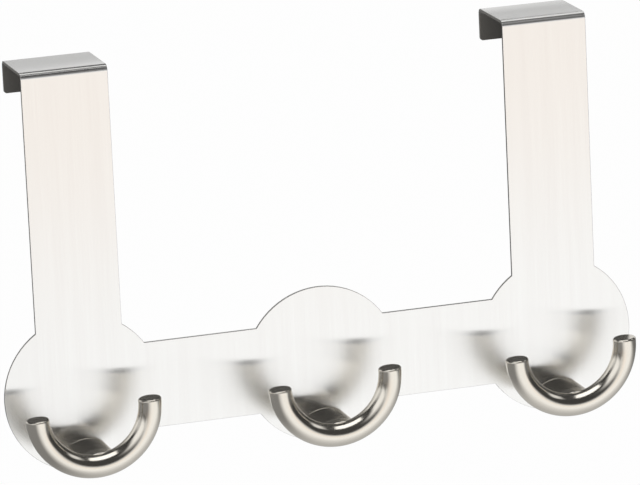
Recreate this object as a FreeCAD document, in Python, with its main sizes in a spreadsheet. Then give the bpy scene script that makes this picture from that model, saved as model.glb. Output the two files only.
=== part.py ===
# Over door hook rack: a folded sheet steel rack that hangs on the top edge of a door,
# with three double hooks of round bar on its front.
# Millimetres, +Z up, -Y towards the room. The origin lies on the back face of the sheet,
# at the centre of the middle disc, where the rack touches the door.
import FreeCAD, Part
import Sketcher
import math
import os
from FreeCAD import Vector

os.makedirs("parts", exist_ok=True)
doc = FreeCAD.newDocument("over_door_hook")

# sizes
SIZES = {
    "hook_spacing": 130.0,        # from one disc centre to the next
    "disc_radius": 41.5,          # round field behind each hook
    "band_height": 46.0,          # horizontal bar of the sheet
    "strap_width": 46.0,          # each upright of the sheet
    "sheet_thickness": 1.5,
    "rack_height": 172.0,         # disc centre to the top of the fold
    "bend_radius": 3.3,           # outer radius of both folds of a clip
    "door_gap": 35.4,             # clear depth of the clip, for a 35 mm door
    "flap_length": 17.5,          # top of the fold to the lower edge of the flap
    "flap_corner": 1.5,           # rounding of the two free corners of a flap
    "rod_radius": 6.1,            # round bar of a hook
    "ring_radius": 30.1,          # centreline radius of the half ring
    "stand_off": 29.3,            # front face of the sheet to the plane of the ring
    "screw_drop": 30.2,           # disc centre straight down to the screw of its hook
    "hook_turn": 4.0,             # degrees each hook is turned about its screw, right arm up
    "tip_chamfer": 0.6,           # broken edge at the cut ends
    "neck_half_width": 10.7,      # oval neck that carries the ring
    "neck_half_height": 5.8,
    "neck_end_radius": 4.2,
    "neck_rise": 0.9,             # centre of the neck above the lowest bar centre
    "neck_edge": 0.4,             # small chamfer where the neck meets the sheet
    "screw_radius": 2.0,          # M4 countersunk screw from the back
    "screw_length": 14.0,
    "head_radius": 3.9,
    "recess_width": 1.0,          # arms of the cross recess
    "recess_span": 4.2,
    "recess_depth": 1.3,
}
sheet = doc.addObject("Spreadsheet::Sheet", "Sizes")
for row, (name, value) in enumerate(SIZES.items(), start=1):
    sheet.set("A%d" % row, name)
    sheet.set("B%d" % row, str(value))
    sheet.setAlias("B%d" % row, name)
# the crown of the neck's oval is the one radius that joins its ends without a corner
crown_row = len(SIZES) + 1
sheet.set("A%d" % crown_row, "neck_crown_radius")
sheet.set("B%d" % crown_row,
          "=((neck_half_width - neck_end_radius) * (neck_half_width - neck_end_radius)"
          " + neck_half_height * neck_half_height - neck_end_radius * neck_end_radius)"
          " / (2 * (neck_half_height - neck_end_radius))")
sheet.setAlias("B%d" % crown_row, "neck_crown_radius")
# a hook turned about its screw carries the centre of its ring to the left of the disc centre
for row, alias, rule in (
        (crown_row + 1, "ring_side", "=(ring_radius - neck_rise) * sin(hook_turn)"),
        (crown_row + 2, "ring_drop", "=screw_drop - (ring_radius - neck_rise) * cos(hook_turn)")):
    sheet.set("A%d" % row, alias)
    sheet.set("B%d" % row, rule)
    sheet.setAlias("B%d" % row, alias)
doc.recompute()


def size(name):
    return float(getattr(sheet, name))


def bind(obj, **rules):
    """Tie properties of an object to the sheet; a double underscore stands for a dot."""
    for prop, rule in rules.items():
        obj.setExpression(prop.replace("__", "."), rule)


# sketch helpers
def new_sketch(body, label, plane):
    sketch = body.newObject("Sketcher::SketchObject", label)
    role = {"XZ": "XZ_Plane", "YZ": "YZ_Plane"}[plane]
    origin_plane = [f for f in body.Origin.OriginFeatures if f.Role == role][0]
    sketch.AttachmentSupport = [(origin_plane, "")]
    sketch.MapMode = "FlatFace"
    return sketch


def constrain(sketch, name, rule, *definition):
    """Add one driving dimension, named and bound to the sheet."""
    index = sketch.addConstraint(Sketcher.Constraint(*definition))
    sketch.renameConstraint(index, name)
    sketch.setExpression("Constraints." + name, rule)


def pad(body, label, sketch, rule, midplane=False):
    feature = body.newObject("PartDesign::Pad", label)
    feature.Profile = sketch
    if midplane:
        feature.SideType = "Symmetric"
    bind(feature, Length=rule)
    sketch.Visibility = False
    return feature


# rack plate
# One blank of stainless sheet: a band with three discs, and an upright on each end disc
# that is folded back over the door and down behind it.
rack = doc.addObject("PartDesign::Body", "RackPlate")
rack.Label = "rack_plate"

spacing, gap, thick = size("hook_spacing"), size("door_gap"), size("sheet_thickness")

band = new_sketch(rack, "BandOutline", "XZ")
half = size("band_height") / 2
corners = [(-spacing, -half), (spacing, -half), (spacing, half), (-spacing, half)]
for i in range(4):
    a, b = corners[i], corners[(i + 1) % 4]
    band.addGeometry(Part.LineSegment(Vector(*a, 0), Vector(*b, 0)), False)
for i in range(4):
    band.addConstraint(Sketcher.Constraint("Coincident", i, 2, (i + 1) % 4, 1))
    band.addConstraint(Sketcher.Constraint("Horizontal" if i % 2 == 0 else "Vertical", i))
band.addConstraint(Sketcher.Constraint("Symmetric", 0, 1, 2, 1, -1, 1))
constrain(band, "length", "2 * Sizes.hook_spacing", "Distance", 0, 2 * spacing)
constrain(band, "height", "Sizes.band_height", "Distance", 1, 2 * half)
pad(rack, "Band", band, "Sizes.sheet_thickness")

discs = new_sketch(rack, "DiscOutlines", "XZ")
for i, x in enumerate((-spacing, 0.0, spacing)):
    discs.addGeometry(Part.Circle(Vector(x, 0, 0), Vector(0, 0, 1), size("disc_radius")), False)
    constrain(discs, "radius_%d" % i, "Sizes.disc_radius", "Radius", i, size("disc_radius"))
discs.addConstraint(Sketcher.Constraint("Coincident", 1, 3, -1, 1))
for i in (0, 2):
    discs.addConstraint(Sketcher.Constraint("PointOnObject", i, 3, -1))
constrain(discs, "left", "Sizes.hook_spacing", "DistanceX", 0, 3, -1, 1, spacing)
constrain(discs, "right", "Sizes.hook_spacing", "DistanceX", -1, 1, 2, 3, spacing)
pad(rack, "Discs", discs, "Sizes.sheet_thickness")


def clip_profile(label, side):
    """Side view of an upright: up the front, over the door top and down behind the door."""
    sketch = new_sketch(rack, label, "YZ")
    bind(sketch, AttachmentOffset__Base__z="%d * Sizes.hook_spacing" % side)
    top, outer = size("rack_height"), size("bend_radius")
    inner, low = outer - thick, size("rack_height") - size("flap_length")
    front, back = -thick, gap + thick
    quarter = math.pi / 2

    def line(ax, az, bx, bz):
        sketch.addGeometry(Part.LineSegment(Vector(ax, az, 0), Vector(bx, bz, 0)), False)

    def arc(cx, cz, radius, start):
        circle = Part.Circle(Vector(cx, cz, 0), Vector(0, 0, 1), radius)
        sketch.addGeometry(Part.ArcOfCircle(circle, start, start + quarter), False)

    line(front, 0, front, top - outer)                       # 0 front of the upright
    arc(front + outer, top - outer, outer, quarter)          # 1 front fold, outside
    line(front + outer, top, back - outer, top)              # 2 top
    arc(back - outer, top - outer, outer, 0)                 # 3 rear fold, outside
    line(back, top - outer, back, low)                       # 4 flap, outside
    line(back, low, gap, low)                                # 5 flap edge
    line(gap, low, gap, top - outer)                         # 6 flap, inside
    arc(back - outer, top - outer, inner, 0)                 # 7 rear fold, inside
    line(back - outer, top - thick, front + outer, top - thick)   # 8 underside of the top
    arc(front + outer, top - outer, inner, quarter)          # 9 front fold, inside
    line(0, top - outer, 0, 0)                               # 10 back of the upright
    line(0, 0, front, 0)                                     # 11 lower end, inside the disc
    # which end of each element meets which end of the next one
    joints = [(0, 2, 1, 2), (1, 1, 2, 1), (2, 2, 3, 2), (3, 1, 4, 1), (6, 2, 7, 1),
              (7, 2, 8, 1), (8, 2, 9, 1), (9, 2, 10, 1)]
    for joint in joints:
        sketch.addConstraint(Sketcher.Constraint("Tangent", *joint))
    for joint in [(4, 2, 5, 1), (5, 2, 6, 1), (10, 2, 11, 1), (11, 2, 0, 1)]:
        sketch.addConstraint(Sketcher.Constraint("Coincident", *joint))
    for upright in (0, 4, 6, 10):
        sketch.addConstraint(Sketcher.Constraint("Vertical", upright))
    for level in (2, 5, 11):
        sketch.addConstraint(Sketcher.Constraint("Horizontal", level))
    sketch.addConstraint(Sketcher.Constraint("Coincident", 10, 2, -1, 1))
    sketch.addConstraint(Sketcher.Constraint("Coincident", 1, 3, 9, 3))
    sketch.addConstraint(Sketcher.Constraint("Coincident", 3, 3, 7, 3))
    constrain(sketch, "sheet_front", "Sizes.sheet_thickness", "Distance", 11, thick)
    constrain(sketch, "sheet_flap", "Sizes.sheet_thickness", "Distance", 5, thick)
    constrain(sketch, "fold_front", "Sizes.bend_radius", "Radius", 1, outer)
    constrain(sketch, "fold_rear", "Sizes.bend_radius", "Radius", 3, outer)
    constrain(sketch, "door", "Sizes.door_gap", "DistanceX", -1, 1, 5, 2, gap)
    constrain(sketch, "height", "Sizes.rack_height", "DistanceY", -1, 1, 1, 1, top)
    constrain(sketch, "flap", "Sizes.flap_length", "DistanceY", 4, 2, 2, 2,
              size("flap_length"))
    return sketch


left_profile = clip_profile("LeftClipProfile", -1)
pad(rack, "LeftClip", left_profile, "Sizes.strap_width", midplane=True)
right_profile = clip_profile("RightClipProfile", 1)
pad(rack, "RightClip", right_profile, "Sizes.strap_width", midplane=True)
doc.recompute()

# the free corners of both flaps are rounded: short edges through the sheet, lowest on the flap
low_edge = size("rack_height") - size("flap_length")
blank, names = rack.Tip, []
for i, edge in enumerate(blank.Shape.Edges, start=1):
    a, b = edge.Vertexes[0].Point, edge.Vertexes[-1].Point
    if abs(a.z - low_edge) < 1e-4 and abs(b.z - low_edge) < 1e-4 and abs(a.x - b.x) < 1e-4:
        if min(a.y, b.y) > gap / 2 and edge.Length > 1e-4:
            names.append("Edge%d" % i)
corner = rack.newObject("PartDesign::Fillet", "FlapCorners")
corner.Base = (blank, names)
bind(corner, Radius="Sizes.flap_corner")
rack.Tip = corner
doc.recompute()

# screw seats
TURNED = "rotation(vector(0; -1; 0); Sizes.hook_turn)"


def placed(obj, x_rule, y_rule, z_rule, turn="rotation(vector(1; 0; 0); 0)"):
    """Tie an object's place to the sheet, turned with its hook after a turn of its own."""
    bind(obj, Placement="placement(vector(%s; %s; %s); %s * %s)"
         % (x_rule, y_rule, z_rule, TURNED, turn))
    obj.Visibility = False
    return obj


def on_neck(obj, x_rule, y_rule):
    """Put an object on the neck's axis, its own z axis turned to -Y."""
    return placed(obj, x_rule, y_rule, "-Sizes.screw_drop", "rotation(vector(1; 0; 0); 90)")


def countersink(label, x_rule):
    """90 degree cone from the head radius at the back of the sheet to the screw radius."""
    cone = doc.addObject("Part::Cone", label)
    bind(cone, Radius1="Sizes.head_radius", Radius2="Sizes.screw_radius",
         Height="Sizes.head_radius - Sizes.screw_radius")
    return on_neck(cone, x_rule, "0")


def shank(label, x_rule):
    pin = doc.addObject("Part::Cylinder", label)
    bind(pin, Radius="Sizes.screw_radius", Height="Sizes.screw_length")
    return on_neck(pin, x_rule, "0")


def fused(label, *shapes):
    union = doc.addObject("Part::MultiFuse", label)
    union.Shapes = list(shapes)
    union.Refine = True
    for shape in shapes:
        shape.Visibility = False
    return union


def cut(label, base, tool):
    result = doc.addObject("Part::Cut", label)
    result.Base, result.Tool = base, tool
    base.Visibility = tool.Visibility = False
    return result


STATIONS = (("Left", "-Sizes.hook_spacing"), ("Middle", "0"), ("Right", "Sizes.hook_spacing"))
bores = {}
for word, x_rule in STATIONS:
    bores[word] = fused(word + "Bore", countersink(word + "BoreCone", x_rule),
                        shank(word + "BoreHole", x_rule))
all_bores = doc.addObject("Part::Compound", "AllBores")
all_bores.Links = list(bores.values())
rack.Label = "rack_sheet_blank"
rack_plate = cut("RackPlateDrilled", rack, all_bores)
rack_plate.Label = "rack_plate"


# double hooks
def neck_oval(label, inset):
    """Oval of four tangent arcs: round ends and a flatter crown above and below."""
    oval = doc.addObject("Sketcher::SketchObject", label)
    drawn_in = size("neck_edge") if inset else 0.0
    end, crown = size("neck_end_radius") - drawn_in, size("neck_crown_radius") - drawn_in
    reach = size("neck_half_width") - size("neck_end_radius")
    drop = size("neck_crown_radius") - size("neck_half_height")
    tilt = math.atan2(drop, reach)        # where an end arc meets a crown arc

    def arc(cx, cz, radius, start, stop):
        circle = Part.Circle(Vector(cx, cz, 0), Vector(0, 0, 1), radius)
        oval.addGeometry(Part.ArcOfCircle(circle, start, stop), False)

    arc(reach, 0, end, -tilt, tilt)                          # 0 right end
    arc(0, -drop, crown, tilt, math.pi - tilt)               # 1 upper crown
    arc(-reach, 0, end, math.pi - tilt, math.pi + tilt)      # 2 left end
    arc(0, drop, crown, math.pi + tilt, 2 * math.pi - tilt)  # 3 lower crown
    for i in range(4):
        oval.addConstraint(Sketcher.Constraint("Tangent", i, 2, (i + 1) % 4, 1))
    for i in (0, 2):
        oval.addConstraint(Sketcher.Constraint("PointOnObject", i, 3, -1))
    oval.addConstraint(Sketcher.Constraint("PointOnObject", 1, 3, -2))
    half_width = "Sizes.neck_half_width - Sizes.neck_end_radius"
    constrain(oval, "right_end", half_width, "DistanceX", -1, 1, 0, 3, reach)
    constrain(oval, "left_end", half_width, "DistanceX", 2, 3, -1, 1, reach)
    constrain(oval, "end_radius", "Sizes.neck_end_radius" + inset, "Radius", 0, end)
    constrain(oval, "crown_radius", "Sizes.neck_crown_radius" + inset, "Radius", 1, crown)
    constrain(oval, "lower_crown", "Sizes.neck_crown_radius" + inset, "Radius", 3, crown)
    return oval


def double_hook(word, x_rule):
    """Half ring of round bar, open upwards, on an oval neck that stands on the sheet."""
    ring_x = x_rule + " - Sizes.ring_side"
    ring_y = "-Sizes.sheet_thickness - Sizes.stand_off"
    ring = doc.addObject("Part::Torus", word + "Ring")
    bind(ring, Radius1="Sizes.ring_radius", Radius2="Sizes.rod_radius")
    ring.Angle3 = 180
    # the half that the torus keeps lies below the ring centre once its axis is turned
    placed(ring, ring_x, ring_y, "-Sizes.ring_drop", "rotation(vector(1; 0; 0); -90)")
    tips = []
    for side, sign in (("A", "-"), ("B", "+")):
        tip = doc.addObject("Part::Cone", word + "Tip" + side)
        bind(tip, Radius1="Sizes.rod_radius", Radius2="Sizes.rod_radius - Sizes.tip_chamfer",
             Height="Sizes.tip_chamfer")
        placed(tip, "%s %s Sizes.ring_radius * cos(Sizes.hook_turn)" % (ring_x, sign), ring_y,
               "-Sizes.ring_drop %s Sizes.ring_radius * sin(Sizes.hook_turn)" % sign)
        tips.append(tip)

    # chamfered foot: the oval drawn in by the chamfer at the sheet, lofted to the full oval
    oval = neck_oval(word + "NeckOval", "")
    on_neck(oval, x_rule, "-Sizes.sheet_thickness - Sizes.neck_edge")
    foot_oval = neck_oval(word + "FootOval", " - Sizes.neck_edge")
    on_neck(foot_oval, x_rule, "-Sizes.sheet_thickness")
    neck = doc.addObject("Part::Extrusion", word + "Neck")
    neck.Base, neck.Solid = oval, True
    neck.DirMode, neck.Dir = "Custom", Vector(0, -1, 0)
    bind(neck, LengthFwd="Sizes.stand_off - Sizes.neck_edge")
    foot = doc.addObject("Part::Loft", word + "NeckFoot")
    foot.Sections, foot.Solid, foot.Ruled = [foot_oval, oval], True, True

    body = fused(word + "HookBody", ring, tips[0], tips[1], neck, foot)
    hook = cut("Hook" + word, body, bores[word])
    hook.Label = "hook_" + word.lower()
    return hook


hooks = [double_hook(word, x_rule) for word, x_rule in STATIONS]


# screws
def screw(word, x_rule):
    """Countersunk screw, flush with the back of the sheet, with a cross recess."""
    solid = fused(word + "ScrewBody", countersink(word + "ScrewHead", x_rule),
                  shank(word + "ScrewShank", x_rule))
    arms = []
    for arm, wide, tall in (("Flat", "Sizes.recess_span", "Sizes.recess_width"),
                            ("Upright", "Sizes.recess_width", "Sizes.recess_span")):
        box = doc.addObject("Part::Box", word + "Recess" + arm)
        bind(box, Length=wide, Height=tall, Width="Sizes.recess_depth",
             Placement__Base__x="%s - %s / 2" % (x_rule, wide),
             Placement__Base__y="-Sizes.recess_depth",
             Placement__Base__z="-Sizes.screw_drop - %s / 2" % tall)
        arms.append(box)
    return cut(word + "Screw", solid, fused(word + "Recess", *arms))


screws = doc.addObject("Part::Compound", "HookScrews")
screws.Label = "hook_screws"
screws.Links = [screw(word, x_rule) for word, x_rule in STATIONS]
doc.recompute()

# check and export
for obj in doc.Objects:
    if "Invalid" in obj.State or "Error" in obj.State:
        raise RuntimeError("%s did not build" % obj.Name)
for node in [rack_plate] + hooks + [screws]:
    if node.Shape.isNull() or not node.Shape.isValid():
        raise RuntimeError("%s has no valid shape" % node.Label)
    node.Shape.exportStep("parts/%s.step" % node.Label)
    box = node.Shape.BoundBox
    print(node.Label, len(node.Shape.Solids), "solids", round(node.Shape.Volume, 1),
          [round(v, 2) for v in (box.XMin, box.XMax, box.YMin, box.YMax, box.ZMin, box.ZMax)])
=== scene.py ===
import math

import bpy
from bpy.props import FloatProperty, FloatVectorProperty, PointerProperty
from mathutils import Euler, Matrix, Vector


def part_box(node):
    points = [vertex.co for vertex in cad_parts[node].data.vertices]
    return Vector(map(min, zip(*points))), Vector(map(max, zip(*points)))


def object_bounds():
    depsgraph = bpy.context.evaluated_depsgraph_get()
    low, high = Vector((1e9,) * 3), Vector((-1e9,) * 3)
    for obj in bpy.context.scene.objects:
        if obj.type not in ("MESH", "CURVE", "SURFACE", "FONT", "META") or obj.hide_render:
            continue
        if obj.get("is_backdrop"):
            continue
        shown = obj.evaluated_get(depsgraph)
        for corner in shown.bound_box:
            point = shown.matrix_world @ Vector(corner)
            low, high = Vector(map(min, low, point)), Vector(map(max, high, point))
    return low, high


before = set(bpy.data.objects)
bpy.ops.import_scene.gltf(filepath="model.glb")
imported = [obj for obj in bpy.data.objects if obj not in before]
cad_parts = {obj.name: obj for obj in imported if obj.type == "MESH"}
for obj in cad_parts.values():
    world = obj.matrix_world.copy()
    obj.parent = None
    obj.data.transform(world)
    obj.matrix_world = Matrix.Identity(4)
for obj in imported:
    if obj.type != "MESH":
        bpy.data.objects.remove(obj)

bl_info = {
    "name": "Over Door Hook",
    "version": (1, 0, 0),
    "blender": (4, 5, 0),
    "location": "View3D > Sidebar > Over Door Hook",
    "description": "Finishes and studio for a folded steel door rack with double hooks",
    "category": "Object",
}

MM = 0.001
IMAGE_WIDTH = 640                    # pixels of the photograph's frame
SENSOR_WIDTH = 36.0                  # millimetres of the camera's sensor
SHEET_LOW, SHEET_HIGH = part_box("rack_plate")
SHEET_THICKNESS = -SHEET_LOW.y       # the sheet's back lies at y = 0
BAR_THICKNESS = 12.2 * MM            # round bar of the hooks
BAR_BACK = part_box("hook_middle")[0].y + BAR_THICKNESS
NECK_SHADE_BLEND = 3 * MM                  # distance over which the bar's colour turns into the painted shade of the neck
FOLD_ZONE = 12 * MM                  # height at the top that holds the folds
GRIND_DEPTH = 0.01 * MM              # depth of the finest marks and of the bead-blast grain
NOISE_LOW, NOISE_HIGH = 0.3, 0.7     # a noise texture stays nearly always between them


def linear(hex_code):
    """Turn an sRGB hex colour into the linear values that Blender's sockets take."""
    parts = [int(hex_code[i:i + 2], 16) / 255 for i in (1, 3, 5)]
    return tuple(c / 12.92 if c <= 0.04045 else ((c + 0.055) / 1.055) ** 2.4 for c in parts)


def add_node(tree, kind, inputs=None, **settings):
    """Add one node with its own options and its inputs: values, or nodes or sockets to link."""
    node = tree.nodes.new(kind)
    for name, value in settings.items():
        setattr(node, name, value)
    for name, value in (inputs or {}).items():
        if isinstance(value, bpy.types.Node):
            value = next(socket for socket in value.outputs if socket.enabled)
        if isinstance(value, bpy.types.NodeSocket):
            tree.links.new(value, node.inputs[name])
        else:
            node.inputs[name].default_value = value
    return node


def blank_material(name):
    """Make a material with an empty node tree."""
    material = bpy.data.materials.new(name)
    material.use_nodes = True
    tree = material.node_tree
    tree.nodes.clear()
    return material, tree


def dress(node_name, material):
    """Give a CAD node its finish."""
    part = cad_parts[node_name]
    part.data.materials.clear()
    part.data.materials.append(material)


# sizes and colours a user would change

class SheetFinish(bpy.types.PropertyGroup):
    steel: FloatVectorProperty(
        name="Steel", description="Colour of the ground stainless sheet", subtype="COLOR",
        size=3, min=0, max=1, default=linear("#FEFEFC"))
    steel_shade: FloatVectorProperty(
        name="Steel between scratches", description="Colour of the deeper grinding marks",
        subtype="COLOR", size=3, min=0, max=1, default=linear("#FAF9F7"))
    # the door side's colour is the grey mill finish, made darker still as painted shade
    mill_side_and_shade: FloatVectorProperty(
        name="Door side", description="Colour of the mill finish on the side to the door",
        subtype="COLOR", size=3, min=0, max=1, default=linear("#979693"))
    cut_edge: FloatVectorProperty(
        name="Cut edge", description="Colour of the cut edges of the sheet",
        subtype="COLOR", size=3, min=0, max=1, default=linear("#8E8D8A"))
    clip_edge: FloatVectorProperty(
        name="Cut edge of the clips", description="Colour of the cut edges behind the front",
        subtype="COLOR", size=3, min=0, max=1, default=linear("#C4C2BE"))
    scratch_spacing: FloatProperty(
        name="Scratch spacing", description="Distance from one grinding mark to the next",
        subtype="DISTANCE", unit="LENGTH", default=0.7 * MM, min=0.05 * MM, max=5 * MM)
    scratch_length: FloatProperty(
        name="Scratch length", description="Length of a grinding mark",
        subtype="DISTANCE", unit="LENGTH", default=45 * MM, min=1 * MM, max=500 * MM)
    track_width: FloatProperty(
        name="Track width", description="Width of the broad bands that the belt leaves",
        subtype="DISTANCE", unit="LENGTH", default=6 * MM, min=1 * MM, max=50 * MM)
    grain: FloatProperty(
        name="Grain", description="How much more a reflection spreads across the marks",
        subtype="FACTOR", default=1.0, min=0, max=1)
    roughness: FloatProperty(
        name="Roughness", description="Roughness of the ground surface", subtype="FACTOR",
        default=0.19, min=0, max=1)
    fold_roughness: FloatProperty(
        name="Roughness of the folds", description="Roughness where the folds stretch the grain",
        subtype="FACTOR", default=0.36, min=0, max=1)
    mill_roughness: FloatProperty(
        name="Roughness of the door side", description="Roughness of the mill finish",
        subtype="FACTOR", default=0.36, min=0, max=1)
    edge_radius: FloatProperty(
        name="Edge radius", description="Rounding that the deburring leaves on the cut edges",
        subtype="DISTANCE", unit="LENGTH", default=0.4 * MM, min=0, max=0.6 * MM)


class HookFinish(bpy.types.PropertyGroup):
    nickel: FloatVectorProperty(
        name="Nickel", description="Colour of the satin nickel on the hooks", subtype="COLOR",
        size=3, min=0, max=1, default=linear("#F3EEE4"))
    nickel_shade: FloatVectorProperty(
        name="Nickel, darker", description="Darker tone in the plating", subtype="COLOR",
        size=3, min=0, max=1, default=linear("#ECE6DB"))
    # painted shade: the neck gets a darker colour for the shade it lies in behind the bar
    neck_painted_shade: FloatVectorProperty(
        name="Neck", description="Colour of the neck, which is duller than the bar",
        subtype="COLOR", size=3, min=0, max=1, default=linear("#BDB7AD"))
    roughness: FloatProperty(
        name="Roughness", description="Roughness of the satin plating", subtype="FACTOR",
        default=0.16, min=0, max=1)
    edge_radius: FloatProperty(
        name="Edge radius", description="Rounding that polishing leaves on the edges",
        subtype="DISTANCE", unit="LENGTH", default=1.1 * MM, min=0, max=1.5 * MM)
    zinc: FloatVectorProperty(
        name="Screw zinc", description="Colour of the zinc-plated screws", subtype="COLOR",
        size=3, min=0, max=1, default=linear("#C9CCD0"))
    zinc_shade: FloatVectorProperty(
        name="Screw zinc, darker", description="Colour of the darker zinc blooms",
        subtype="COLOR", size=3, min=0, max=1, default=linear("#B5B8BB"))


class StudioSet(bpy.types.PropertyGroup):
    floor_drop: FloatProperty(
        name="Floor below rack", description="Distance from the lowest point to the floor",
        subtype="DISTANCE", unit="LENGTH", default=0.32, min=0, max=3)
    floor_reach: FloatProperty(
        name="Floor reach", description="Distance from the rack to each end of the floor",
        subtype="DISTANCE", unit="LENGTH", default=8.0, min=1, max=50)
    floor_colour: FloatVectorProperty(
        name="Floor", description="Colour of the plain floor", subtype="COLOR",
        size=3, min=0, max=1, default=linear("#FFFFFF"))
    floor_far_colour: FloatVectorProperty(
        name="Floor, far end", description="Colour that reflections of the far floor take",
        subtype="COLOR", size=3, min=0, max=1, default=linear("#FFF8F2"))
    softbox_power: FloatProperty(
        name="Softbox power", description="Power of the lamp above the rack", subtype="POWER",
        unit="POWER", default=3.34, min=0, max=1000)
    camera_place: FloatVectorProperty(
        name="Camera", description="Place of the camera", subtype="TRANSLATION",
        unit="LENGTH", size=3, default=(-0.86066, -2.88576, 0.81317))
    camera_turn: FloatVectorProperty(
        name="Camera turn", description="Rotation of the camera", subtype="EULER",
        unit="ROTATION", size=3,
        default=tuple(math.radians(a) for a in (76.0296, 2.6498, -17.3136)))
    camera_pixels: FloatProperty(
        name="Focal length in pixels",
        description="Focal length in pixels of the 640 by 485 picture",
        default=5946.9, min=100, max=20000)


# finishes

def ground_stainless_sheet(finish):
    """Stainless steel sheet, ground with a belt along the uprights on the side that shows.

    The fine parallel marks spread a reflection sideways and leave it sharp up and down,
    so what stands in front of the sheet shows as a soft, wide band with a clear top. The
    folds stretch the marks and are duller. The door side keeps the grey mill finish, painted
    darker still as shade, and the cut edges are greyer than the front.
    """
    material, tree = blank_material("ground_stainless_sheet")
    place = add_node(tree, "ShaderNodeTexCoord")
    split = add_node(tree, "ShaderNodeSeparateXYZ", {"Vector": place.outputs["Object"]})
    across, depth, height = (split.outputs[axis] for axis in "XYZ")

    # the marks follow the sheet up the front, over the fold and back: up and depth count as one
    along = add_node(tree, "ShaderNodeMath", {0: height, 1: depth}, operation="ADD")
    mark_across = add_node(tree, "ShaderNodeMath", {0: across, 1: finish.scratch_spacing},
                           operation="DIVIDE")
    mark_along = add_node(tree, "ShaderNodeMath", {0: along, 1: finish.scratch_length},
                          operation="DIVIDE")
    mark_place = add_node(tree, "ShaderNodeCombineXYZ", {"X": mark_across, "Y": mark_along})
    marks = add_node(tree, "ShaderNodeTexNoise",
                     {"Vector": mark_place, "Scale": 1.0, "Detail": 3.0, "Roughness": 0.6})
    # the belt's tracks: broad bands, about four times as long as a mark
    track_place = add_node(tree, "ShaderNodeMapping",
                           {"Vector": mark_place,
                            "Scale": (finish.scratch_spacing / finish.track_width, 0.25, 1.0)})
    tracks = add_node(tree, "ShaderNodeTexNoise",
                      {"Vector": track_place, "Scale": 1.0, "Detail": 2.0})
    # marks and tracks together stay nearly always between 0.7 and 1.3
    tone = add_node(tree, "ShaderNodeMath", {0: marks, 1: tracks}, operation="ADD")
    level = add_node(tree, "ShaderNodeMapRange",
                     {"Value": tone, "From Min": 0.7, "From Max": 1.3})
    ground = add_node(tree, "ShaderNodeMix",
                      {"Factor": level, "A": (*finish.steel_shade, 1), "B": (*finish.steel, 1)},
                      data_type="RGBA")

    # the door side is what lies more than half a sheet inside the outline of the folds
    half_sheet = SHEET_THICKNESS / 2
    door_side = 1.0
    for where, limit, side in ((depth, SHEET_LOW.y + half_sheet, "GREATER_THAN"),
                               (depth, SHEET_HIGH.y - half_sheet, "LESS_THAN"),
                               (height, SHEET_HIGH.z - half_sheet, "LESS_THAN")):
        within = add_node(tree, "ShaderNodeMath", {0: where, 1: limit}, operation=side)
        door_side = add_node(tree, "ShaderNodeMath", {0: door_side, 1: within},
                             operation="MULTIPLY")
    # the door side gets the mill grey, darkened further as painted shade
    milled_and_shaded = add_node(tree, "ShaderNodeMix",
                      {"Factor": door_side, "A": ground, "B": (*finish.mill_side_and_shade, 1)},
                      data_type="RGBA")

    # cut edges look sideways, or, below the folds, neither forwards nor back. A part of the
    # normal counts as none under 0.05, and as all over 0.95
    facing = add_node(tree, "ShaderNodeNewGeometry")
    turned = add_node(tree, "ShaderNodeVectorMath", {0: facing.outputs["True Normal"]},
                      operation="ABSOLUTE")
    normal = add_node(tree, "ShaderNodeSeparateXYZ", {"Vector": turned})
    sideways, forwards, upwards = (normal.outputs[axis] for axis in "XYZ")
    narrow = add_node(tree, "ShaderNodeMath", {0: forwards, 1: 0.05}, operation="LESS_THAN")
    below_folds = add_node(tree, "ShaderNodeMath", {0: height, 1: SHEET_HIGH.z - FOLD_ZONE},
                           operation="LESS_THAN")
    side_face = add_node(tree, "ShaderNodeMath", {0: sideways, 1: 0.95},
                         operation="GREATER_THAN")
    either = add_node(tree, "ShaderNodeMath", {0: below_folds, 1: side_face},
                      operation="MAXIMUM")
    edge = add_node(tree, "ShaderNodeMath", {0: narrow, 1: either}, operation="MULTIPLY")
    # the cut edges of the clips are brighter than those of the front
    on_clip = add_node(tree, "ShaderNodeMapRange",
                       {"Value": depth, "From Min": 0.0, "From Max": SHEET_THICKNESS})
    edge_colour = add_node(tree, "ShaderNodeMix",
                           {"Factor": on_clip, "A": (*finish.cut_edge, 1),
                            "B": (*finish.clip_edge, 1)}, data_type="RGBA")
    colour = add_node(tree, "ShaderNodeMix", {"Factor": edge, "A": milled_and_shaded, "B": edge_colour},
                      data_type="RGBA")

    # roughness: the marks' own change, more in the folds, more on the mill side
    mark_rough = add_node(tree, "ShaderNodeMapRange",
                          {"Value": marks, "From Min": NOISE_LOW, "From Max": NOISE_HIGH,
                           "To Min": finish.roughness - 0.005,
                           "To Max": finish.roughness + 0.005})
    # only the folds look forwards and upwards at once
    fold = 1.0
    for direction in (forwards, upwards):
        leaning = add_node(tree, "ShaderNodeMapRange",
                           {"Value": direction, "From Min": 0.02, "From Max": 0.25},
                           interpolation_type="SMOOTHSTEP")
        fold = add_node(tree, "ShaderNodeMath", {0: fold, 1: leaning}, operation="MULTIPLY")
    fold_rough = add_node(tree, "ShaderNodeMix",
                          {"Factor": fold, "A": mark_rough, "B": finish.fold_roughness})
    rough = add_node(tree, "ShaderNodeMix",
                     {"Factor": door_side, "A": fold_rough, "B": finish.mill_roughness})
    rounded = add_node(tree, "ShaderNodeBevel", {"Radius": finish.edge_radius}, samples=12)
    relief = add_node(tree, "ShaderNodeBump",
                      {"Height": marks, "Strength": 0.004, "Distance": GRIND_DEPTH,
                       "Normal": rounded})
    # the marks run up the sheet, so a reflection spreads along X, square to them
    steel = add_node(tree, "ShaderNodeBsdfPrincipled",
                     {"Base Color": colour, "Metallic": 1.0, "Roughness": rough,
                      "Anisotropic": finish.grain, "Normal": relief, "Tangent": (1, 0, 0)})
    add_node(tree, "ShaderNodeOutputMaterial", {"Surface": steel})
    return material


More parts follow.
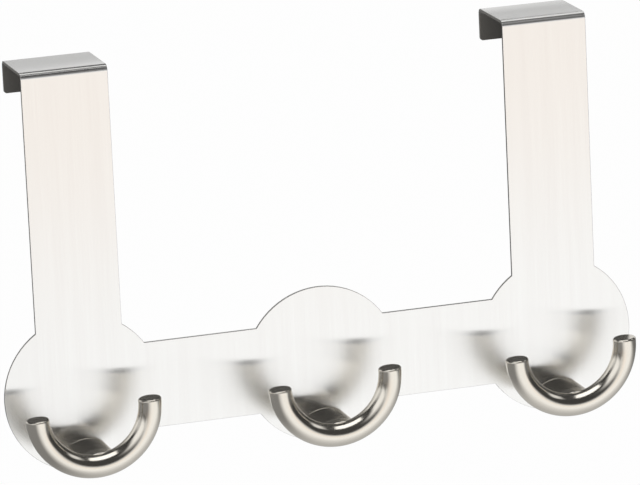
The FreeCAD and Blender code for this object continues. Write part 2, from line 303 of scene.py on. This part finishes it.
def satin_nickel(finish):
    """Cast and plated bar with a satin nickel finish.

    Smooth enough to mirror the room in bands along the bar, warm in tone, with edges of
    the reflections a little soft. The neck is painted darker, as painted shade behind the bar.
    """
    material, tree = blank_material("satin_nickel")
    place = add_node(tree, "ShaderNodeTexCoord")
    # slow change of tone in the plating, about 15 mm from patch to patch
    patches = add_node(tree, "ShaderNodeTexNoise",
                       {"Vector": place.outputs["Object"], "Scale": 1 / (15 * MM),
                        "Detail": 2.0})
    # bead-blast grain of about 0.1 mm, drawn at 0.4 mm so that it shows
    beads = add_node(tree, "ShaderNodeTexNoise",
                     {"Vector": place.outputs["Object"], "Scale": 1 / (0.4 * MM),
                      "Detail": 1.0})
    colour = add_node(tree, "ShaderNodeMix",
                      {"Factor": patches, "A": (*finish.nickel_shade, 1),
                       "B": (*finish.nickel, 1)}, data_type="RGBA")
    # the neck lies behind the bar; its darker colour there is painted shade
    split = add_node(tree, "ShaderNodeSeparateXYZ", {"Vector": place.outputs["Object"]})
    neck_shade_mask = add_node(tree, "ShaderNodeMapRange",
                          {"Value": split.outputs["Y"], "From Min": BAR_BACK,
                           "From Max": BAR_BACK + NECK_SHADE_BLEND},
                          interpolation_type="SMOOTHSTEP")
    tone = add_node(tree, "ShaderNodeMix",
                    {"Factor": neck_shade_mask, "A": colour, "B": (*finish.neck_painted_shade, 1)},
                    data_type="RGBA")
    rough = add_node(tree, "ShaderNodeMapRange",
                     {"Value": beads, "From Min": NOISE_LOW, "From Max": NOISE_HIGH,
                      "To Min": finish.roughness - 0.02, "To Max": finish.roughness + 0.02})
    # the edges of the foot and the cut ends are polished round before plating
    rounded = add_node(tree, "ShaderNodeBevel", {"Radius": finish.edge_radius}, samples=12)
    relief = add_node(tree, "ShaderNodeBump",
                      {"Height": beads, "Strength": 0.02, "Distance": GRIND_DEPTH,
                       "Normal": rounded})
    nickel = add_node(tree, "ShaderNodeBsdfPrincipled",
                      {"Base Color": tone, "Metallic": 1.0, "Roughness": rough,
                       "Normal": relief})
    add_node(tree, "ShaderNodeOutputMaterial", {"Surface": nickel})
    return material


def zinc_plated_steel(finish):
    """Cold-formed screw steel with bright zinc: cool, slightly mottled and duller."""
    material, tree = blank_material("zinc_plated_steel")
    place = add_node(tree, "ShaderNodeTexCoord")
    # zinc blooms of about 1 mm
    bloom = add_node(tree, "ShaderNodeTexNoise",
                     {"Vector": place.outputs["Object"], "Scale": 1 / (1 * MM),
                      "Detail": 2.0})
    rough = add_node(tree, "ShaderNodeMapRange", {"Value": bloom, "To Min": 0.28, "To Max": 0.42})
    tone = add_node(tree, "ShaderNodeMix",
                    {"Factor": bloom, "A": (*finish.zinc, 1), "B": (*finish.zinc_shade, 1)},
                    data_type="RGBA")
    zinc = add_node(tree, "ShaderNodeBsdfPrincipled",
                    {"Base Color": tone, "Metallic": 1.0, "Roughness": rough})
    add_node(tree, "ShaderNodeOutputMaterial", {"Surface": zinc})
    return material


# the room that the metal mirrors: strengths, where 1 is white, and directions in degrees, as
# turns from the front to the right and rises above the horizon. Each panel fades in between
# its first two angles and out between its last two
ROOM_LEVEL = 0.05
BACK_WALL_LEVEL = 0.68
BACK_WALL_SIDES = (0.3, 0.7)         # how far a direction points back: 0 is square, 1 straight
CEILING_RISES = (34, 22)             # the back wall is dark above the first, full below the second
PALE_PANELS = (
    # a white panel, front left, and the dimmer wall beside it
    {"level": 0.92, "turns": (-92, -72, -46, -6), "rises": (0, 8, 34, 50)},
    {"level": 0.52, "turns": (-140, -112, -84, -70), "rises": (-4, 6, 18, 36)},
    # a small window on the right
    {"level": 0.75, "turns": (56, 68, 92, 104), "rises": (28, 36, 44, 54)},
    # the far end of the white floor sheet, hung up
    {"level": 0.85, "turns": (-50, -34, 34, 52), "rises": (-20, -12, -4, 16)},
)
# the softbox, in metres: its left and right end, its front and back end, and its height
SOFTBOX_SIDES = (-0.50, 0.50)
SOFTBOX_ENDS = (-0.47, 0.36)
SOFTBOX_HEIGHT = 1.2
# the white sheet on the floor, in metres: x to the right and y to the back of the rack
FADE_DEPTHS, FADE_LEVELS = (-0.75, 0.1), (1.0, 0.5)     # white in front, dimmer below the rack
LEFT_DEPTHS, LEFT_WIDTHS = (-0.2, -5.2), (0.34, 4.6)    # its left part widens into the room
LEFT_BORDER = (-1.0, 0.05)           # shares of that width where the sheet ends and is full
RIGHT_LEAN = 0.6                     # the right border moves out by this for each metre of room
RIGHT_BORDER = (1.4, 0.35)           # x where it ends and is full, beside the rack
SHADE_SIDES, SHADE_LEVELS = (-0.5, 1.0), (0.24, 0.17)   # the greyer floor around the sheet
WARM_DEPTHS = (-1.3, -2.2)           # from where on reflections of the sheet turn warmer
CAMERA_SHARE = 0.985                 # how much of the glow the camera sees, the rest is paint


# operators

class HOOKRACK_OT_sheet(bpy.types.Operator):
    """Finish the folded sheet of the rack"""
    bl_idname = "hookrack.sheet"
    bl_label = "Finish the Sheet"

    def execute(self, context):
        dress("rack_plate", ground_stainless_sheet(context.scene.hookrack_sheet))
        return {"FINISHED"}


class HOOKRACK_OT_hooks(bpy.types.Operator):
    """Finish the three double hooks"""
    bl_idname = "hookrack.hooks"
    bl_label = "Finish the Double Hooks"

    def execute(self, context):
        nickel = satin_nickel(context.scene.hookrack_hooks)
        for side in ("left", "middle", "right"):
            dress("hook_" + side, nickel)
        return {"FINISHED"}


class HOOKRACK_OT_screws(bpy.types.Operator):
    """Finish the countersunk screws on the back"""
    bl_idname = "hookrack.screws"
    bl_label = "Finish the Screws"

    def execute(self, context):
        dress("hook_screws", zinc_plated_steel(context.scene.hookrack_hooks))
        return {"FINISHED"}


class HOOKRACK_OT_studio(bpy.types.Operator):
    """Set the floor, the lights and the camera"""
    bl_idname = "hookrack.studio"
    bl_label = "Set the Studio"

    def execute(self, context):
        studio = context.scene.hookrack_studio
        lowest_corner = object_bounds()[0]
        white_floor(studio, lowest_corner.z - studio.floor_drop)
        white_room(context.scene)
        softbox(context.scene, studio)
        camera(context.scene, studio)
        context.scene.view_settings.view_transform = "Standard"
        return {"FINISHED"}


def white_floor(studio, height):
    """Make a white sheet that runs from below the rack into the room, on a greyer floor.

    The camera sees plain white. Reflections see the bright sheet in front of the rack and
    the shade on both sides of it and behind.
    """
    mesh = bpy.data.meshes.new("floor")
    reach = studio.floor_reach
    mesh.from_pydata([(-reach, -reach, height), (reach, -reach, height),
                      (reach, reach, height), (-reach, reach, height)], [], [(0, 1, 2, 3)])
    floor = bpy.data.objects.new("floor", mesh)
    bpy.context.scene.collection.objects.link(floor)
    floor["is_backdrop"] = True
    material, tree = blank_material("white_painted_floor")
    place = add_node(tree, "ShaderNodeTexCoord")
    split = add_node(tree, "ShaderNodeSeparateXYZ", {"Vector": place.outputs["Object"]})
    across, depth = split.outputs["X"], split.outputs["Y"]
    # along the sheet: white in the room, half as bright where it runs below and behind the rack
    along = add_node(tree, "ShaderNodeMapRange",
                     {"Value": depth, "From Min": FADE_DEPTHS[0], "From Max": FADE_DEPTHS[1],
                      "To Min": FADE_LEVELS[0], "To Max": FADE_LEVELS[1]},
                     interpolation_type="SMOOTHSTEP")
    # the left border of the sheet runs outwards and grows softer into the room
    width = add_node(tree, "ShaderNodeMapRange",
                     {"Value": depth, "From Min": LEFT_DEPTHS[0], "From Max": LEFT_DEPTHS[1],
                      "To Min": LEFT_WIDTHS[0], "To Max": LEFT_WIDTHS[1]})
    left_spread = add_node(tree, "ShaderNodeMath", {0: across, 1: width}, operation="DIVIDE")
    # the right border runs outwards too
    lean = add_node(tree, "ShaderNodeMath", {0: depth, 1: RIGHT_LEAN}, operation="MULTIPLY")
    right_spread = add_node(tree, "ShaderNodeMath", {0: across, 1: lean}, operation="ADD")
    on_sheet = 1.0
    for spread, (outside, inside) in ((left_spread, LEFT_BORDER),
                                      (right_spread, RIGHT_BORDER)):
        border = add_node(tree, "ShaderNodeMapRange",
                          {"Value": spread, "From Min": outside, "From Max": inside},
                          interpolation_type="SMOOTHSTEP")
        on_sheet = add_node(tree, "ShaderNodeMath", {0: on_sheet, 1: border},
                            operation="MULTIPLY")
    shade = add_node(tree, "ShaderNodeMapRange",
                     {"Value": across, "From Min": SHADE_SIDES[0], "From Max": SHADE_SIDES[1],
                      "To Min": SHADE_LEVELS[0], "To Max": SHADE_LEVELS[1]},
                     interpolation_type="SMOOTHSTEP")
    mirrored = add_node(tree, "ShaderNodeMix", {"Factor": on_sheet, "A": shade, "B": along})
    path = add_node(tree, "ShaderNodeLightPath")
    level = add_node(tree, "ShaderNodeMix",
                     {"Factor": path.outputs["Is Camera Ray"], "A": mirrored, "B": 1.0})
    # the far end of the sheet is a little warmer in reflections
    far = add_node(tree, "ShaderNodeMapRange",
                   {"Value": depth, "From Min": WARM_DEPTHS[0], "From Max": WARM_DEPTHS[1]},
                   interpolation_type="SMOOTHSTEP")
    warm = add_node(tree, "ShaderNodeMix",
                    {"Factor": path.outputs["Is Camera Ray"], "A": far, "B": 0.0})
    hue = add_node(tree, "ShaderNodeMix",
                   {"Factor": warm, "A": (*studio.floor_colour, 1),
                    "B": (*studio.floor_far_colour, 1)}, data_type="RGBA")
    paint = add_node(tree, "ShaderNodeBsdfPrincipled",
                     {"Base Color": (*studio.floor_colour, 1), "Roughness": 0.9})
    glow = add_node(tree, "ShaderNodeEmission", {"Color": hue, "Strength": level})
    # the paint lights the rack, and shows through a little, so that the floor takes its shadow
    seen = 0.0
    for ray, share in (("Is Camera Ray", CAMERA_SHARE), ("Is Glossy Ray", 1.0),
                       ("Is Transmission Ray", 1.0)):
        shown = add_node(tree, "ShaderNodeMath", {0: path.outputs[ray], 1: share},
                         operation="MULTIPLY")
        seen = add_node(tree, "ShaderNodeMath", {0: seen, 1: shown}, operation="MAXIMUM")
    mixed = add_node(tree, "ShaderNodeMixShader", {0: seen, 1: paint, 2: glow})
    add_node(tree, "ShaderNodeOutputMaterial", {"Surface": mixed})
    mesh.materials.append(material)


def white_room(scene):
    """Make the world: white for the camera, and in reflections a dim room with pale panels."""
    world = bpy.data.worlds.new("studio_room")
    scene.world = world
    world.use_nodes = True
    tree = world.node_tree
    tree.nodes.clear()
    place = add_node(tree, "ShaderNodeTexCoord")
    split = add_node(tree, "ShaderNodeSeparateXYZ", {"Vector": place.outputs["Generated"]})
    # directions as turn from the front to the right and rise above the horizon
    forwards = add_node(tree, "ShaderNodeMath", {0: split.outputs["Y"], 1: -1.0},
                        operation="MULTIPLY")
    turn = add_node(tree, "ShaderNodeMath", {0: split.outputs["X"], 1: forwards},
                    operation="ARCTAN2")
    rise = add_node(tree, "ShaderNodeMath", {0: split.outputs["Z"]}, operation="ARCSINE")

    # a pale wall behind the door, up to the height where the ceiling's shade begins
    behind = add_node(tree, "ShaderNodeMapRange",
                      {"Value": split.outputs["Y"], "From Min": BACK_WALL_SIDES[0],
                       "From Max": BACK_WALL_SIDES[1], "To Max": BACK_WALL_LEVEL},
                      interpolation_type="SMOOTHSTEP")
    below_ceiling = add_node(tree, "ShaderNodeMapRange",
                             {"Value": rise, "From Min": math.radians(CEILING_RISES[0]),
                              "From Max": math.radians(CEILING_RISES[1])},
                             interpolation_type="SMOOTHSTEP")
    room = add_node(tree, "ShaderNodeMath", {0: behind, 1: below_ceiling},
                    operation="MULTIPLY")
    for pale in PALE_PANELS:
        panel = pale["level"]
        for angle, (start, full, last, end) in ((turn, pale["turns"]), (rise, pale["rises"])):
            for outside, inside in ((start, full), (end, last)):
                border = add_node(tree, "ShaderNodeMapRange",
                                  {"Value": angle, "From Min": math.radians(outside),
                                   "From Max": math.radians(inside)},
                                  interpolation_type="SMOOTHSTEP")
                panel = add_node(tree, "ShaderNodeMath", {0: panel, 1: border},
                                 operation="MULTIPLY")
        room = add_node(tree, "ShaderNodeMath", {0: room, 1: panel}, operation="MAXIMUM")
    room = add_node(tree, "ShaderNodeMath", {0: room, 1: ROOM_LEVEL}, operation="ADD")

    path = add_node(tree, "ShaderNodeLightPath")
    white = add_node(tree, "ShaderNodeMath",
                     {0: path.outputs["Is Camera Ray"], 1: path.outputs["Is Transmission Ray"]},
                     operation="MAXIMUM")
    strength = add_node(tree, "ShaderNodeMix", {"Factor": white, "A": room, "B": 1.0})
    light = add_node(tree, "ShaderNodeBackground", {"Color": (1, 1, 1, 1), "Strength": strength})
    add_node(tree, "ShaderNodeOutputWorld", {"Surface": light})


def softbox(scene, studio):
    """Hang a rectangular area lamp above the rack that faces straight down."""
    lamp = bpy.data.lights.new("softbox_above", "AREA")
    lamp.shape = "RECTANGLE"
    lamp.size = SOFTBOX_SIDES[1] - SOFTBOX_SIDES[0]
    lamp.size_y = SOFTBOX_ENDS[1] - SOFTBOX_ENDS[0]
    lamp.energy = studio.softbox_power
    rig = bpy.data.objects.new("softbox_above", lamp)
    scene.collection.objects.link(rig)
    rig.location = (sum(SOFTBOX_SIDES) / 2, sum(SOFTBOX_ENDS) / 2, SOFTBOX_HEIGHT)


def camera(scene, studio):
    """Set the camera at the photograph's angle."""
    lens = bpy.data.cameras.new("camera")
    lens.sensor_fit = "HORIZONTAL"
    lens.sensor_width = SENSOR_WIDTH
    lens.lens = studio.camera_pixels * lens.sensor_width / IMAGE_WIDTH
    lens.clip_start, lens.clip_end = 0.1, 50.0
    eye = bpy.data.objects.new("camera", lens)
    scene.collection.objects.link(eye)
    eye.location = studio.camera_place
    eye.rotation_euler = Euler(studio.camera_turn, "XYZ")
    scene.camera = eye


class HOOKRACK_PT_panel(bpy.types.Panel):
    """Sizes, colours and steps of the over door hook"""
    bl_idname = "HOOKRACK_PT_panel"
    bl_label = "Over Door Hook"
    bl_space_type = "VIEW_3D"
    bl_region_type = "UI"
    bl_category = "Over Door Hook"

    def draw(self, context):
        layout = self.layout
        for group, operators in (("hookrack_sheet", ("hookrack.sheet",)),
                                 ("hookrack_hooks", ("hookrack.hooks", "hookrack.screws")),
                                 ("hookrack_studio", ("hookrack.studio",))):
            box = layout.box()
            values = getattr(context.scene, group)
            for name in values.__annotations__:
                box.prop(values, name)
            for operator in operators:
                box.operator(operator)


GROUPS = (("hookrack_sheet", SheetFinish), ("hookrack_hooks", HookFinish),
          ("hookrack_studio", StudioSet))
CLASSES = (SheetFinish, HookFinish, StudioSet, HOOKRACK_OT_sheet, HOOKRACK_OT_hooks,
           HOOKRACK_OT_screws, HOOKRACK_OT_studio, HOOKRACK_PT_panel)


def register():
    for cls in CLASSES:
        bpy.utils.register_class(cls)
    for name, group in GROUPS:
        setattr(bpy.types.Scene, name, PointerProperty(type=group))


def unregister():
    for name, _ in GROUPS:
        delattr(bpy.types.Scene, name)
    for cls in reversed(CLASSES):
        bpy.utils.unregister_class(cls)


def main():
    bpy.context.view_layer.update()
    register()
    bpy.ops.hookrack.sheet()
    bpy.ops.hookrack.hooks()
    bpy.ops.hookrack.screws()
    bpy.ops.hookrack.studio()


if __name__ == "__main__":
    main()
